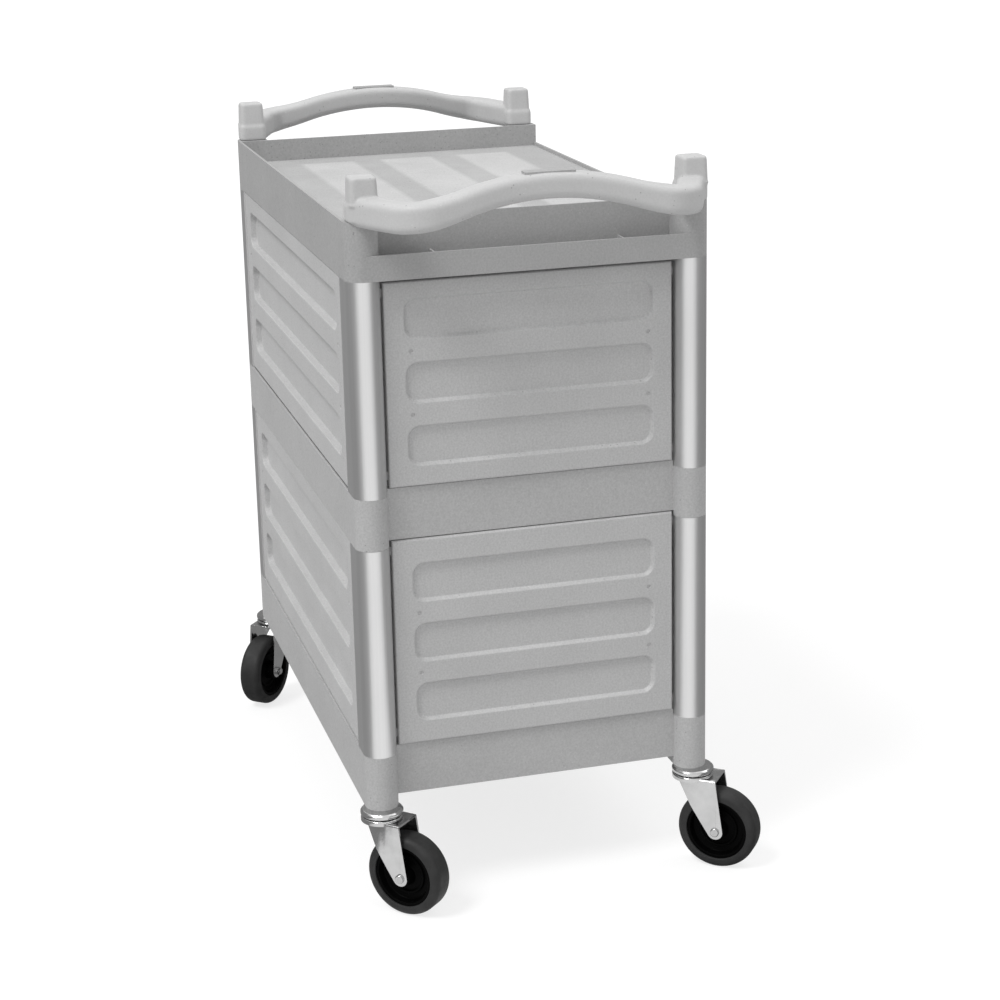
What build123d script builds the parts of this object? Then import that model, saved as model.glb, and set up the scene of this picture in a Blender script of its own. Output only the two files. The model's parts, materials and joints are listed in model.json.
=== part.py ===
from build123d import *
import os
from math import asin, atan2, cos, degrees, radians, sin, sqrt

# Serving cart: three moulded shelves on eight hollow corner posts, end and side panels,
# a bowed handle at each end and four swivel casters. Millimetres, +Z up, +X towards the
# front end, origin on the floor under the middle of the body. The -Y long side is closed
# by panels and the +Y long side is open.

os.makedirs("parts", exist_ok=True)

# Driving dimensions of the body
body_length = 744.0
body_width = 430.0
bottom_shelf_height = 67.0
lower_bay_height = 256.0
middle_shelf_height = 62.0
upper_bay_height = 253.0
top_shelf_height = 67.0

# Corner posts: hollow sections with a half-round nose, slipped over shelf spigots
post_width = 40.0
post_depth = 47.0
post_wall = 2.0
spigot_length = 22.0
spigot_clearance = 0.3
spigot_wall = 3.0

# Moulded shelves
moulding_wall = 3.0
tray_depth = 29.5
low_lip_height = 4.5
end_band_height = 29.0
trough_width = 30.0
trough_floor_rise = 8.0
trough_rib_offset = 112.0
trough_rib_thickness = 2.0
trough_rib_height = 16.0
shelf_tray_depth = 15.0
shelf_end_setback = 20.0
end_rim_height = 6.5
end_rim_clearance = 0.5
bottom_band_rise = 11.0
floor_rib_depth = 14.0
floor_rib_thickness = 2.5
floor_rib_pitch_x = 140.0
floor_rib_count_x = 4
floor_rib_pitch_y = 130.0
column_top_wall = 5.0
stem_block_height = 45.0

# Panels: shells with three rounded recesses each
panel_depth = 14.0
panel_wall = 3.0
panel_edge_radius = 2.5
end_panel_setback = 16.0
end_panel_gap = 3.0
end_panel_top_gap = 5.0
lower_end_panel_rise = 5.0
band_gap = 1.0
side_panel_setback = 1.5
side_panel_gap = 1.5
recess_gap = 26.5
recess_radius = 15.0
recess_floor_radius = 1.5
end_recess_depth = 4.5
end_recess_draft = 35.0
end_recess_edge_radius = 2.0
side_recess_depth = 8.5
side_recess_draft = 10.0
side_recess_edge_radius = 1.6
end_recess_margin = 23.0
side_recess_margin = 33.0
upper_recess_margin = 21.5
lower_recess_margin = 28.0
upper_side_recess_margin = 26.5
lower_side_recess_margin = 28.0
upper_recess_rise = 2.0
lower_recess_rise = -1.0
upper_side_recess_rise = 4.0
lower_side_recess_rise = 5.5
dimple_radius = 2.5
dimple_depth = 1.2
dimple_end_margin = 30.0
tab_height = 10.0
tab_inset = 8.0
panel_screw_back_inset = 3.0

# Handles
handle_block_size = 36.5
handle_block_height = 20.0
handle_block_end_inset = 11.5
handle_block_side_inset = 21.2
handle_block_radius = 8.0
stub_size = 31.5
stub_radius = 6.0
stub_taper = 2.8
stub_height = 30.5
stub_edge_radius = 3.0
bar_width = 31.0
bar_height = 29.0
bar_edge_radius = 10.0
bar_reach = 61.0
bar_knee_reach = 78.0
bar_knee_inset = 58.0
bar_knee_radius = 34.0
bar_bow_radius = 600.0
bar_arch = 28.5
bar_arch_inset = 20.0
bar_dip = 3.0
bar_end_clearance = 0.3
plate_length = 58.0
plate_width = 17.0
plate_thickness = 3.0
plate_stand = 1.5
plate_clearance = 0.15
plate_corner_radius = 2.0
plate_edge_radius = 0.6

# Screws
screw_head_radius = 3.5
screw_head_height = 2.2
screw_radius = 1.9
post_screw_inset = 28.0
post_screw_length = 4.6
spigot_screw_depth = 6.0
handle_screw_radius = 3.0
handle_screw_head_radius = 5.0
handle_screw_head_height = 4.0
handle_screw_depth = 14.0

# Casters, measured in each caster's own frame: x along the trail, z up from the body
swivel_end_inset = 12.0
swivel_side_inset = 18.0
axle_drop = 77.0
caster_trail = 35.0
wheel_radius = 50.0
tyre_width = 31.0
tyre_thickness = 12.0
tyre_shoulder_radius = 5.0
stem_radius = 6.0
stem_insertion = 32.0
stem_head_radius = 9.0
stem_head_height = 4.5
running_clearance = 0.08
end_play = 0.15
race_radius = 26.0
race_height = 6.6
race_edge_radius = 1.5
swivel_gap = 1.4
crown_radius = 25.5
crown_height = 6.0
crown_edge_radius = 2.5
ball_circle_radius = 17.0
ball_radius = 2.8
ball_clearance = 0.1
ball_count = 10
tyre_side_gap = 3.0
fork_wall = 2.5
fork_top = 10.0
fork_front = 17.0
fork_front_drop = 14.0
fork_front_half_width = 10.0
fork_crease = 3.0
fork_crease_narrowing = 0.8
fork_second_crease = 17.0
fork_tip_radius = 9.75
fork_open_front = 1.0
fork_bend_radius = 2.0
axle_radius = 4.0
axle_hole_clearance = 0.1
axle_head_radius = 5.5
axle_nut_size = 10.0
axle_head_height = 3.2
axle_nut_height = 5.0
axle_thread_stand = 1.5
bush_radius = 6.5
hub_clearance = 0.1
hub_side_clearance = 0.25
hub_boss_radius = 11.0
hub_rim_thickness = 4.0
hub_rim_setback = 2.0
hub_web_thickness = 9.0
rest_angles = {"front_right": 45.0, "front_left": 52.0, "rear_right": -40.0, "rear_left": 225.0}

# Levels and half sizes worked out from the driving dimensions
half_length = body_length / 2
half_width = body_width / 2
nose_radius = post_width / 2
caster_height = wheel_radius + axle_drop
bottom_z = caster_height
lower_post_z = bottom_z + bottom_shelf_height
middle_z = lower_post_z + lower_bay_height
upper_post_z = middle_z + middle_shelf_height
top_z = upper_post_z + upper_bay_height
rim_z = top_z + top_shelf_height
tray_z = rim_z - tray_depth
post_inner_y = half_width - post_width
post_inner_x = half_length - post_depth
spigot_inset = post_wall + spigot_clearance
cavity_inset = spigot_inset + spigot_wall
nose_x = half_length - nose_radius
nose_y = half_width - nose_radius
end_wall_x = half_length - moulding_wall - trough_width
column_depth = half_length - end_wall_x + moulding_wall
handle_block_x = half_length - handle_block_end_inset
handle_block_y = half_width - handle_block_side_inset
swivel_x = half_length - swivel_end_inset
swivel_y = half_width - swivel_side_inset
crown_bottom = race_height + swivel_gap + crown_height
leg_inner_half = tyre_width / 2 + tyre_side_gap
fork_half_width = leg_inner_half + fork_wall
fork_crease_half_width = fork_half_width - fork_crease_narrowing
panel_screw_drop = panel_depth - panel_screw_back_inset
tab_depth = 2 * panel_screw_back_inset
hub_radius = wheel_radius - tyre_thickness
post_joints = ((lower_post_z, 1), (middle_z, -1), (upper_post_z, 1), (top_z, -1))
corners = {
    "front_right": (1, -1),
    "front_left": (1, 1),
    "rear_right": (-1, -1),
    "rear_left": (-1, 1),
}
ends = {"front": 1, "rear": -1}


def corner_plan(level, inset=0.0, depth=post_depth, chosen=tuple(corners)):
    """Plan of the corner posts: half-round noses with a straight body behind each."""
    straight = depth - nose_radius - inset
    with BuildSketch(Plane.XY.offset(level)) as plan:
        for name in chosen:
            end, side = corners[name]
            with Locations((end * nose_x, side * nose_y)):
                Circle(nose_radius - inset)
            with Locations((end * (nose_x - straight / 2), side * nose_y)):
                Rectangle(straight, 2 * (nose_radius - inset))
    return plan.sketch


def corner_columns(level, height, inset=0.0, depth=post_depth, mode=Mode.ADD):
    """Upright columns, or cavities, at all four corners."""
    extrude(corner_plan(level, inset, depth), amount=height, mode=mode)


def block(x_range, y_range, z_range, mode=Mode.ADD):
    """A plain block between two corners, added to or cut from the piece being made."""
    x_low, x_high = sorted(x_range)
    y_low, y_high = sorted(y_range)
    with BuildSketch(Plane.XY.offset(min(z_range))) as plan:
        with Locations(((x_low + x_high) / 2, (y_low + y_high) / 2)):
            Rectangle(x_high - x_low, y_high - y_low)
    extrude(plan.sketch, amount=abs(z_range[1] - z_range[0]), mode=mode)


def floor_ribs(tray_underside, half_span_x, half_span_y):
    """Stiffening ribs under a tray."""
    low = tray_underside - floor_rib_depth
    with BuildSketch(Plane.XY.offset(low)) as plan:
        with GridLocations(floor_rib_pitch_x, 0, floor_rib_count_x, 1):
            Rectangle(floor_rib_thickness, 2 * half_span_y)
        with GridLocations(0, floor_rib_pitch_y, 1, 2):
            Rectangle(2 * half_span_x, floor_rib_thickness)
    extrude(plan.sketch, amount=floor_rib_depth)


def post_screw_place(name, joint_z, direction):
    """Plane on a post's back face at the screw near one joint, looking out of the post."""
    end, side = corners[name]
    height = joint_z + direction * spigot_length / 2
    origin = (end * post_inner_x, side * (half_width - post_screw_inset), height)
    return Plane(origin=origin, x_dir=(0, end, 0), z_dir=(-end, 0, 0))


def spigot_screw_holes(joint_z, direction):
    """Screw holes in the four spigots at one joint, reached through the posts."""
    for name in corners:
        with BuildSketch(post_screw_place(name, joint_z, direction)) as hole:
            Circle(screw_radius)
        extrude(hole.sketch, amount=-spigot_screw_depth, mode=Mode.SUBTRACT)


def export_piece(piece, name):
    """Label a finished piece and write it under its own name."""
    piece.part.label = name
    export_step(piece.part, f"parts/{name}.step")


# Top shelf: tray, end walls, end bands with a trough behind them, and corner columns
tray_underside = tray_z - moulding_wall
trough_floor_z = top_z + trough_floor_rise
trough_floor_top = trough_floor_z + moulding_wall
inner_y = half_width - moulding_wall
with BuildPart() as top_shelf:
    corner_columns(top_z, rim_z - top_z)
    for end in ends.values():
        notch_x = (end * (half_length - column_depth), end * post_inner_x)
        block(notch_x, (-half_width, half_width), (tray_z, rim_z), mode=Mode.SUBTRACT)
        band_x = (end * half_length, end * (half_length - moulding_wall))
        block(band_x, (-nose_y, nose_y), (top_z, top_z + end_band_height))
        wall_x = (end * end_wall_x, end * (end_wall_x - moulding_wall))
        block(wall_x, (-nose_y, nose_y), (trough_floor_z, rim_z))
        trough_x = (end * (end_wall_x - moulding_wall), end * (half_length - moulding_wall))
        block(trough_x, (-nose_y, nose_y), (trough_floor_z, trough_floor_top))
        for side in (-1, 1):
            rib_y = side * trough_rib_offset
            rib_range = (rib_y - trough_rib_thickness / 2, rib_y + trough_rib_thickness / 2)
            rib_top = trough_floor_top + trough_rib_height
            block(trough_x, rib_range, (trough_floor_z, rib_top))
    right_wall = (-half_width, -inner_y)
    left_wall = (half_width, inner_y)
    block((-nose_x, nose_x), right_wall, (top_z, rim_z))
    block((-nose_x, nose_x), left_wall, (top_z, tray_z + low_lip_height))
    block((-end_wall_x, end_wall_x), (-inner_y, inner_y), (tray_underside, tray_z))
    floor_ribs(tray_underside, end_wall_x - moulding_wall, inner_y)
    corner_columns(top_z - spigot_length, spigot_length, inset=spigot_inset)
    cavity_top = rim_z - column_top_wall
    cavity_z = top_z - spigot_length
    corner_columns(cavity_z, cavity_top - cavity_z, cavity_inset, column_depth, Mode.SUBTRACT)
    with BuildSketch(Plane.XY.offset(rim_z)) as screw_holes:
        with GridLocations(2 * handle_block_x, 2 * handle_block_y, 2, 2):
            Circle(handle_screw_radius)
    extrude(screw_holes.sketch, amount=-column_top_wall, mode=Mode.SUBTRACT)
    spigot_screw_holes(top_z, -1)
export_piece(top_shelf, "top_shelf")


def lower_shelf(level, height, band_rise, spigot_joints, cavity_range):
    """Middle or bottom shelf: a shallow tray with raised end rims and corner columns."""
    shelf_top = level + height
    rim_half = post_inner_y - end_rim_clearance
    floor_z = shelf_top - shelf_tray_depth
    band_x = half_length - shelf_end_setback
    with BuildPart() as shelf:
        corner_columns(level, height)
        for side in (-1, 1):
            skirt_y = (side * half_width, side * inner_y)
            block((-nose_x, nose_x), skirt_y, (level, shelf_top))
        for end in ends.values():
            band_range = (end * band_x, end * (band_x - moulding_wall))
            block(band_range, (-nose_y, nose_y), (level + band_rise, shelf_top))
            block(band_range, (-rim_half, rim_half), (shelf_top, shelf_top + end_rim_height))
        block((-band_x, band_x), (-inner_y, inner_y), (floor_z - moulding_wall, floor_z))
        floor_ribs(floor_z - moulding_wall, band_x - moulding_wall, inner_y)
        for joint_z, direction in spigot_joints:
            spigot_z = min(joint_z, joint_z + direction * spigot_length)
            corner_columns(spigot_z, spigot_length, inset=spigot_inset)
        cavity_low, cavity_high = cavity_range
        corner_columns(cavity_low, cavity_high - cavity_low, cavity_inset, mode=Mode.SUBTRACT)
        for joint_z, direction in spigot_joints:
            spigot_screw_holes(joint_z, direction)
    return shelf


middle_shelf = lower_shelf(
    middle_z,
    middle_shelf_height,
    lower_end_panel_rise + band_gap,
    ((middle_z, -1), (upper_post_z, 1)),
    (middle_z - spigot_length, upper_post_z + spigot_length),
)
export_piece(middle_shelf, "middle_shelf")

bottom_shelf = lower_shelf(
    bottom_z,
    bottom_shelf_height,
    bottom_band_rise,
    ((lower_post_z, 1),),
    (bottom_z + stem_block_height, lower_post_z + spigot_length),
)
with BuildPart() as drilled_bottom_shelf:
    add(bottom_shelf.part)
    with BuildSketch(Plane.XY.offset(bottom_z)) as stem_sockets:
        with GridLocations(2 * swivel_x, 2 * swivel_y, 2, 2):
            Circle(stem_radius)
    extrude(stem_sockets.sketch, amount=stem_insertion, mode=Mode.SUBTRACT)
export_piece(drilled_bottom_shelf, "bottom_shelf")


def panel_screw_axes(plane, width, height, tab_reach):
    """Planes on the post's flank at each of a panel's four screws, looking into the post."""
    reach = width / 2 + tab_reach
    row = height / 2 - tab_inset - tab_height / 2
    for side in (-1, 1):
        for level in (-row, row):
            origin = plane.origin + plane.x_dir * side * reach + plane.y_dir * level
            origin -= plane.z_dir * panel_screw_drop
            yield Plane(origin=origin, x_dir=plane.z_dir, z_dir=plane.x_dir * side)


def end_panel_plane(end, low, high):
    """Outer face plane of an end panel between two levels."""
    origin = (end * (half_length - end_panel_setback), 0, (low + high) / 2)
    return Plane(origin=origin, x_dir=(0, end, 0), z_dir=(end, 0, 0))


def side_panel_plane(low, high):
    """Outer face plane of a side panel between two levels, on the closed long side."""
    origin = (0, -half_width + side_panel_setback, (low + high) / 2)
    return Plane(origin=origin, x_dir=(1, 0, 0), z_dir=(0, -1, 0))


# Panel bays: lower and upper edge, then the margin above the recesses and their rise
end_panel_width = 2 * (post_inner_y - end_panel_gap)
side_panel_width = 2 * post_inner_x
end_panel_start = end_rim_height + band_gap
end_bays = {
    "upper": (
        upper_post_z + end_panel_start,
        top_z - end_panel_top_gap,
        upper_recess_margin,
        upper_recess_rise,
    ),
    "lower": (
        lower_post_z + end_panel_start,
        middle_z + lower_end_panel_rise,
        lower_recess_margin,
        lower_recess_rise,
    ),
}
side_bays = {
    "upper": (
        upper_post_z + side_panel_gap,
        top_z - side_panel_gap,
        upper_side_recess_margin,
        upper_side_recess_rise,
    ),
    "lower": (
        lower_post_z + side_panel_gap,
        middle_z - side_panel_gap,
        lower_side_recess_margin,
        lower_side_recess_rise,
    ),
}
panel_screw_planes = []
for low, high, margin, rise in end_bays.values():
    for end in ends.values():
        plane = end_panel_plane(end, low, high)
        panel_screw_planes += panel_screw_axes(plane, end_panel_width, high - low, end_panel_gap)
for low, high, margin, rise in side_bays.values():
    plane = side_panel_plane(low, high)
    panel_screw_planes += panel_screw_axes(plane, side_panel_width, high - low, 0)


def corner_post(name, level, height):
    """Hollow post between two shelves, with a screw hole near each end of its back face."""
    end, side = corners[name]
    with BuildPart() as post:
        extrude(corner_plan(level, chosen=(name,)), amount=height)
        extrude(corner_plan(level, post_wall, chosen=(name,)), amount=height, mode=Mode.SUBTRACT)
        for joint_z, direction in ((level, 1), (level + height, -1)):
            with BuildSketch(post_screw_place(name, joint_z, direction)) as hole:
                Circle(screw_radius)
            extrude(hole.sketch, amount=-post_wall, mode=Mode.SUBTRACT)
        for plane in panel_screw_planes:
            place = plane.origin
            if end * place.X > 0 and side * place.Y > 0 and level < place.Z < level + height:
                with BuildSketch(plane) as hole:
                    Circle(screw_radius)
                extrude(hole.sketch, amount=post_wall, mode=Mode.SUBTRACT)
    return post


for name in corners:
    export_piece(corner_post(name, lower_post_z, lower_bay_height), f"lower_post_{name}")
    export_piece(corner_post(name, upper_post_z, upper_bay_height), f"upper_post_{name}")


def faces_towards(piece, plane):
    """Faces of a piece in order along a plane's normal."""
    return piece.faces().sort_by(Axis(plane.origin, plane.z_dir))


def panel_side_plane(plane, distance, depth):
    """Plane across a panel's side wall, looking out of it along the panel's own x."""
    origin = plane.origin + plane.x_dir * distance - plane.z_dir * depth
    return Plane(origin=origin, x_dir=plane.z_dir, z_dir=plane.x_dir)


def recessed_panel(plane, size, margins, rise, form, tab_reach):
    """Shell with three rounded recesses, its face on the given plane, and tabs at its sides."""
    width, height = size
    side_margin, upper_margin = margins
    depth, draft, edge_radius = form
    recess_width = width - 2 * side_margin
    recess_height = (height - 2 * upper_margin - 2 * recess_gap) / 3
    recess_pitch = recess_height + recess_gap
    back = plane.offset(-panel_depth)
    inwards = Plane(origin=plane.origin, x_dir=plane.x_dir, z_dir=-plane.z_dir)
    screw_rows = height - 2 * tab_inset - tab_height
    dimple_span = width - 2 * dimple_end_margin
    with BuildPart() as panel:
        with BuildSketch(plane) as face:
            Rectangle(width, height)
        extrude(face.sketch, amount=-panel_depth)
        fillet(faces_towards(panel, plane)[-1].edges(), panel_edge_radius)
        with BuildSketch(back) as hollow:
            Rectangle(width - 2 * panel_wall, height - 2 * panel_wall)
        extrude(hollow.sketch, amount=panel_depth - panel_wall, mode=Mode.SUBTRACT)
        with BuildSketch(plane.offset(-panel_wall)) as pockets:
            with Locations((0, rise)):
                with GridLocations(0, recess_pitch, 1, 3):
                    RectangleRounded(
                        recess_width + 2 * panel_wall,
                        recess_height + 2 * panel_wall,
                        recess_radius + panel_wall,
                    )
        extrude(pockets.sketch, amount=-depth)
        with BuildSketch(inwards) as recesses:
            with Locations((0, -rise)):
                with GridLocations(0, recess_pitch, 1, 3):
                    RectangleRounded(recess_width, recess_height, recess_radius)
        extrude(recesses.sketch, amount=depth, taper=draft, mode=Mode.SUBTRACT)
        mouths = faces_towards(panel, plane)[-1].inner_wires()
        fillet([edge for mouth in mouths for edge in mouth.edges()], edge_radius)
        floor_edges = [edge for edge in panel.edges() if lies_on(edge, plane.offset(-depth))]
        fillet(floor_edges, recess_floor_radius)
        with BuildSketch(plane) as dimples:
            with Locations((0, rise)):
                with GridLocations(dimple_span, recess_pitch, 2, 2):
                    Circle(dimple_radius)
        extrude(dimples.sketch, amount=-dimple_depth, mode=Mode.SUBTRACT)
        if tab_reach > 0:
            with BuildSketch(back) as tabs:
                with GridLocations(width + tab_reach, screw_rows, 2, 2):
                    Rectangle(tab_reach, tab_height)
            extrude(tabs.sketch, amount=tab_depth)
        reach = width / 2 + tab_reach
        with BuildSketch(panel_side_plane(plane, reach, panel_screw_drop)) as screw_holes:
            with GridLocations(0, screw_rows, 1, 2):
                Circle(screw_radius)
        extrude(screw_holes.sketch, amount=-2 * reach, mode=Mode.SUBTRACT)
    return panel


def lies_on(edge, plane):
    """Whether an edge lies in a plane."""
    ends_and_middle = [edge @ 0, edge @ 0.5, edge @ 1]
    return all(abs((point - plane.origin).dot(plane.z_dir)) < 0.001 for point in ends_and_middle)


end_form = (end_recess_depth, end_recess_draft, end_recess_edge_radius)
side_form = (side_recess_depth, side_recess_draft, side_recess_edge_radius)
for bay, (low, high, margin, rise) in end_bays.items():
    size = (end_panel_width, high - low)
    margins = (end_recess_margin, margin)
    for end_name, end in ends.items():
        plane = end_panel_plane(end, low, high)
        panel = recessed_panel(plane, size, margins, rise, end_form, end_panel_gap)
        export_piece(panel, f"{bay}_{end_name}_panel")
for bay, (low, high, margin, rise) in side_bays.items():
    plane = side_panel_plane(low, high)
    size = (side_panel_width, high - low)
    margins = (side_recess_margin, margin)
    export_piece(recessed_panel(plane, size, margins, rise, side_form, 0), f"{bay}_side_panel")


def bar_plan_line(end):
    """Centre line of a handle's bar seen from above: two knees and a slight inward bow."""
    knee_x = end * (half_length + bar_knee_reach)
    knee_y = half_width - bar_knee_inset
    return FilletPolyline(
        (end * handle_block_x, -handle_block_y),
        (knee_x, -knee_y),
        (end * (half_length + bar_reach), 0),
        (knee_x, knee_y),
        (end * handle_block_x, handle_block_y),
        radius=[bar_knee_radius, bar_bow_radius, bar_knee_radius],
    )


def handle(end):
    """One moulding: a bowed and arched bar, two base blocks and two stub caps."""
    bar_end_z = rim_z + bar_height / 2 - bar_dip
    arch_half = half_width - bar_arch_inset
    arch_radius = (arch_half**2 + bar_arch**2) / (4 * bar_arch)
    arch_turn = degrees(asin(arch_half / 2 / arch_radius))
    block_places = [(end * handle_block_x, side * handle_block_y) for side in (-1, 1)]
    with BuildPart() as piece:
        with BuildSketch(Plane.XY.offset(rim_z - 2 * bar_dip)) as plan:
            with BuildLine() as bar_line:
                bar_plan_line(end)
            trace(bar_line.line, line_width=bar_width)
        extrude(plan.sketch, amount=bar_height + bar_arch + 3 * bar_dip)
        with BuildSketch(Plane.YZ) as front:
            with BuildLine() as arch_line:
                start = Line((-half_width, bar_end_z), (-arch_half, bar_end_z))
                rise = JernArc(start @ 1, start % 1, arch_radius, arch_turn)
                crown = JernArc(rise @ 1, rise % 1, arch_radius, -2 * arch_turn)
                fall = JernArc(crown @ 1, crown % 1, arch_radius, arch_turn)
                Line(fall @ 1, (half_width, bar_end_z))
            trace(arch_line.line, line_width=bar_height)
        extrude(front.sketch, amount=2 * body_length, both=True, mode=Mode.INTERSECT)
        long_edges = [
            edge
            for edge in piece.edges()
            if abs((edge % 0.5).Y) > 0.3 and abs(edge.center().Y) < handle_block_y - bar_edge_radius / 2
        ]
        fillet(long_edges, bar_edge_radius)
        column_x = (0, end * (half_length + bar_end_clearance))
        column_z = (rim_z - bar_height, rim_z)
        block(column_x, (-half_width, half_width), column_z, mode=Mode.SUBTRACT)
        with BuildSketch(Plane.XY.offset(rim_z)) as blocks:
            with Locations(*block_places):
                RectangleRounded(handle_block_size, handle_block_size, handle_block_radius)
        extrude(blocks.sketch, amount=handle_block_height)
        with BuildSketch(Plane.XY.offset(rim_z + handle_block_height)) as stubs:
            with Locations(*block_places):
                RectangleRounded(stub_size, stub_size, stub_radius)
        taper = degrees(atan2(stub_taper / 2, stub_height))
        extrude(stubs.sketch, amount=stub_height, taper=taper)
        stub_tops = piece.faces().filter_by(Axis.Z).group_by(Axis.Z)[-1].edges()
        fillet(stub_tops, stub_edge_radius)
        with BuildSketch(plate_seat_plane(end)) as seat:
            Rectangle(plate_width + 2 * plate_clearance, plate_length + 2 * plate_clearance)
        extrude(seat.sketch, amount=bar_height, mode=Mode.SUBTRACT)
        with BuildSketch(Plane.XY.offset(rim_z)) as screw_holes:
            with Locations(*block_places):
                Circle(handle_screw_radius)
        extrude(screw_holes.sketch, amount=handle_screw_depth, mode=Mode.SUBTRACT)
    return piece


def plate_seat_plane(end):
    """Flat seat of the blank plate, cut into the crown of a handle's bar."""
    crown_z = rim_z - bar_dip + bar_height + bar_arch
    seat_z = crown_z + plate_stand - plate_thickness
    bow_turn = atan2(bar_knee_reach - bar_reach, half_width - bar_knee_inset)
    bow_offset = bar_bow_radius * (1 / cos(bow_turn) - 1)
    return Plane(origin=(end * (half_length + bar_reach + bow_offset), 0, seat_z))


for end_name, end in ends.items():
    export_piece(handle(end), f"{end_name}_handle")
    with BuildPart() as plate:
        with BuildSketch(plate_seat_plane(end)) as plate_plan:
            RectangleRounded(plate_width, plate_length, plate_corner_radius)
        extrude(plate_plan.sketch, amount=plate_thickness)
        fillet(plate.faces().sort_by(Axis.Z)[-1].edges(), plate_edge_radius)
    export_piece(plate, f"{end_name}_handle_plate")


def screw(plane, head_radius, head_height, shank_radius, shank_length, shank_start=0.0):
    """Pan-head screw: the head stands up from the plane and the shank goes down through it."""
    with BuildSketch(plane.offset(shank_start)) as head:
        Circle(head_radius)
    extrude(head.sketch, amount=head_height)
    with BuildSketch(plane.offset(shank_start)) as shank:
        Circle(shank_radius)
    extrude(shank.sketch, amount=-shank_length)


# Screws that hold the posts on their spigots
with BuildPart() as post_screws:
    for joint_z, direction in post_joints:
        for name in corners:
            plane = post_screw_place(name, joint_z, direction)
            screw(plane, screw_head_radius, screw_head_height, screw_radius, post_screw_length)
export_piece(post_screws, "post_screws")

# Screws from inside the panels into the posts' flanks
with BuildPart() as panel_screws:
    for plane in panel_screw_planes:
        tab_reach = end_panel_gap if abs(plane.z_dir.Y) > 0.5 else 0
        flipped = Plane(origin=plane.origin, x_dir=plane.x_dir, z_dir=-plane.z_dir)
        grip = panel_wall + tab_reach
        screw(
            flipped,
            screw_head_radius,
            screw_head_height,
            screw_radius,
            grip + post_wall,
            shank_start=grip,
        )
export_piece(panel_screws, "panel_screws")

# Screws from inside the top shelf's columns up into the handles' base blocks
with BuildPart() as handle_screws:
    for end, side in corners.values():
        origin = (end * handle_block_x, side * handle_block_y, rim_z - column_top_wall)
        plane = Plane(origin=origin, x_dir=(1, 0, 0), z_dir=(0, 0, -1))
        shank_length = column_top_wall + handle_screw_depth
        screw(
            plane,
            handle_screw_head_radius,
            handle_screw_head_height,
            handle_screw_radius,
            shank_length,
        )
export_piece(handle_screws, "handle_screws")


def caster_plane(name):
    """A caster's own frame: origin under the shelf on the swivel axis, x along the trail."""
    end, side = corners[name]
    angle = radians(rest_angles[name])
    origin = (end * swivel_x, side * swivel_y, bottom_z)
    return Plane(origin=origin, x_dir=(cos(angle), sin(angle), 0), z_dir=(0, 0, 1))


def side_view_plane(base):
    """Plane through the middle of a caster: x along the trail, y up."""
    return Plane(origin=base.origin, x_dir=base.x_dir, z_dir=-base.y_dir)


def axle_plane(base, offset_along=0.0):
    """Plane across the axle at the wheel's middle, moved along the axle."""
    origin = base.origin + base.x_dir * caster_trail - base.z_dir * axle_drop
    return Plane(origin=origin - base.y_dir * offset_along, x_dir=base.x_dir, z_dir=-base.y_dir)


def fork_leg_outline(side_plane):
    """Side view of the fork: a flat top, a slanted front and a rounded foot about the axle."""
    front = Vector(-fork_front, -fork_front_drop)
    foot = Vector(caster_trail, -axle_drop)
    away = foot - front
    tangent_length = sqrt(away.length**2 - fork_tip_radius**2)
    tangent_angle = atan2(away.Y, away.X) - asin(fork_tip_radius / away.length)
    touch = front + Vector(cos(tangent_angle), sin(tangent_angle)) * tangent_length
    bottom = foot + Vector(0, -fork_tip_radius)
    rear = foot + Vector(fork_tip_radius, 0)
    with BuildSketch(side_plane) as outline:
        with BuildLine():
            Polyline(touch, front, (-fork_front, -fork_top), (caster_trail, -fork_top), rear)
            ThreePointArc(touch, bottom, rear)
        make_face()
    return outline.sketch


def fork_plan(base, inset, front_reach, rear_reach):
    """Plan of the fork's width: straight legs that bend inwards towards the front."""
    crease_slope = (fork_crease_half_width - fork_front_half_width) / (fork_crease + fork_front)
    front_half = fork_crease_half_width - crease_slope * (fork_crease + front_reach)
    right_side = [
        (-front_reach, inset - front_half),
        (fork_crease, inset - fork_crease_half_width),
        (fork_second_crease, inset - fork_half_width),
        (rear_reach, inset - fork_half_width),
    ]
    left_side = [(x, -y) for x, y in reversed(right_side)]
    with BuildSketch(base) as plan:
        with BuildLine():
            Polyline(*right_side, *left_side, close=True)
        make_face()
    return plan.sketch


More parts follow.
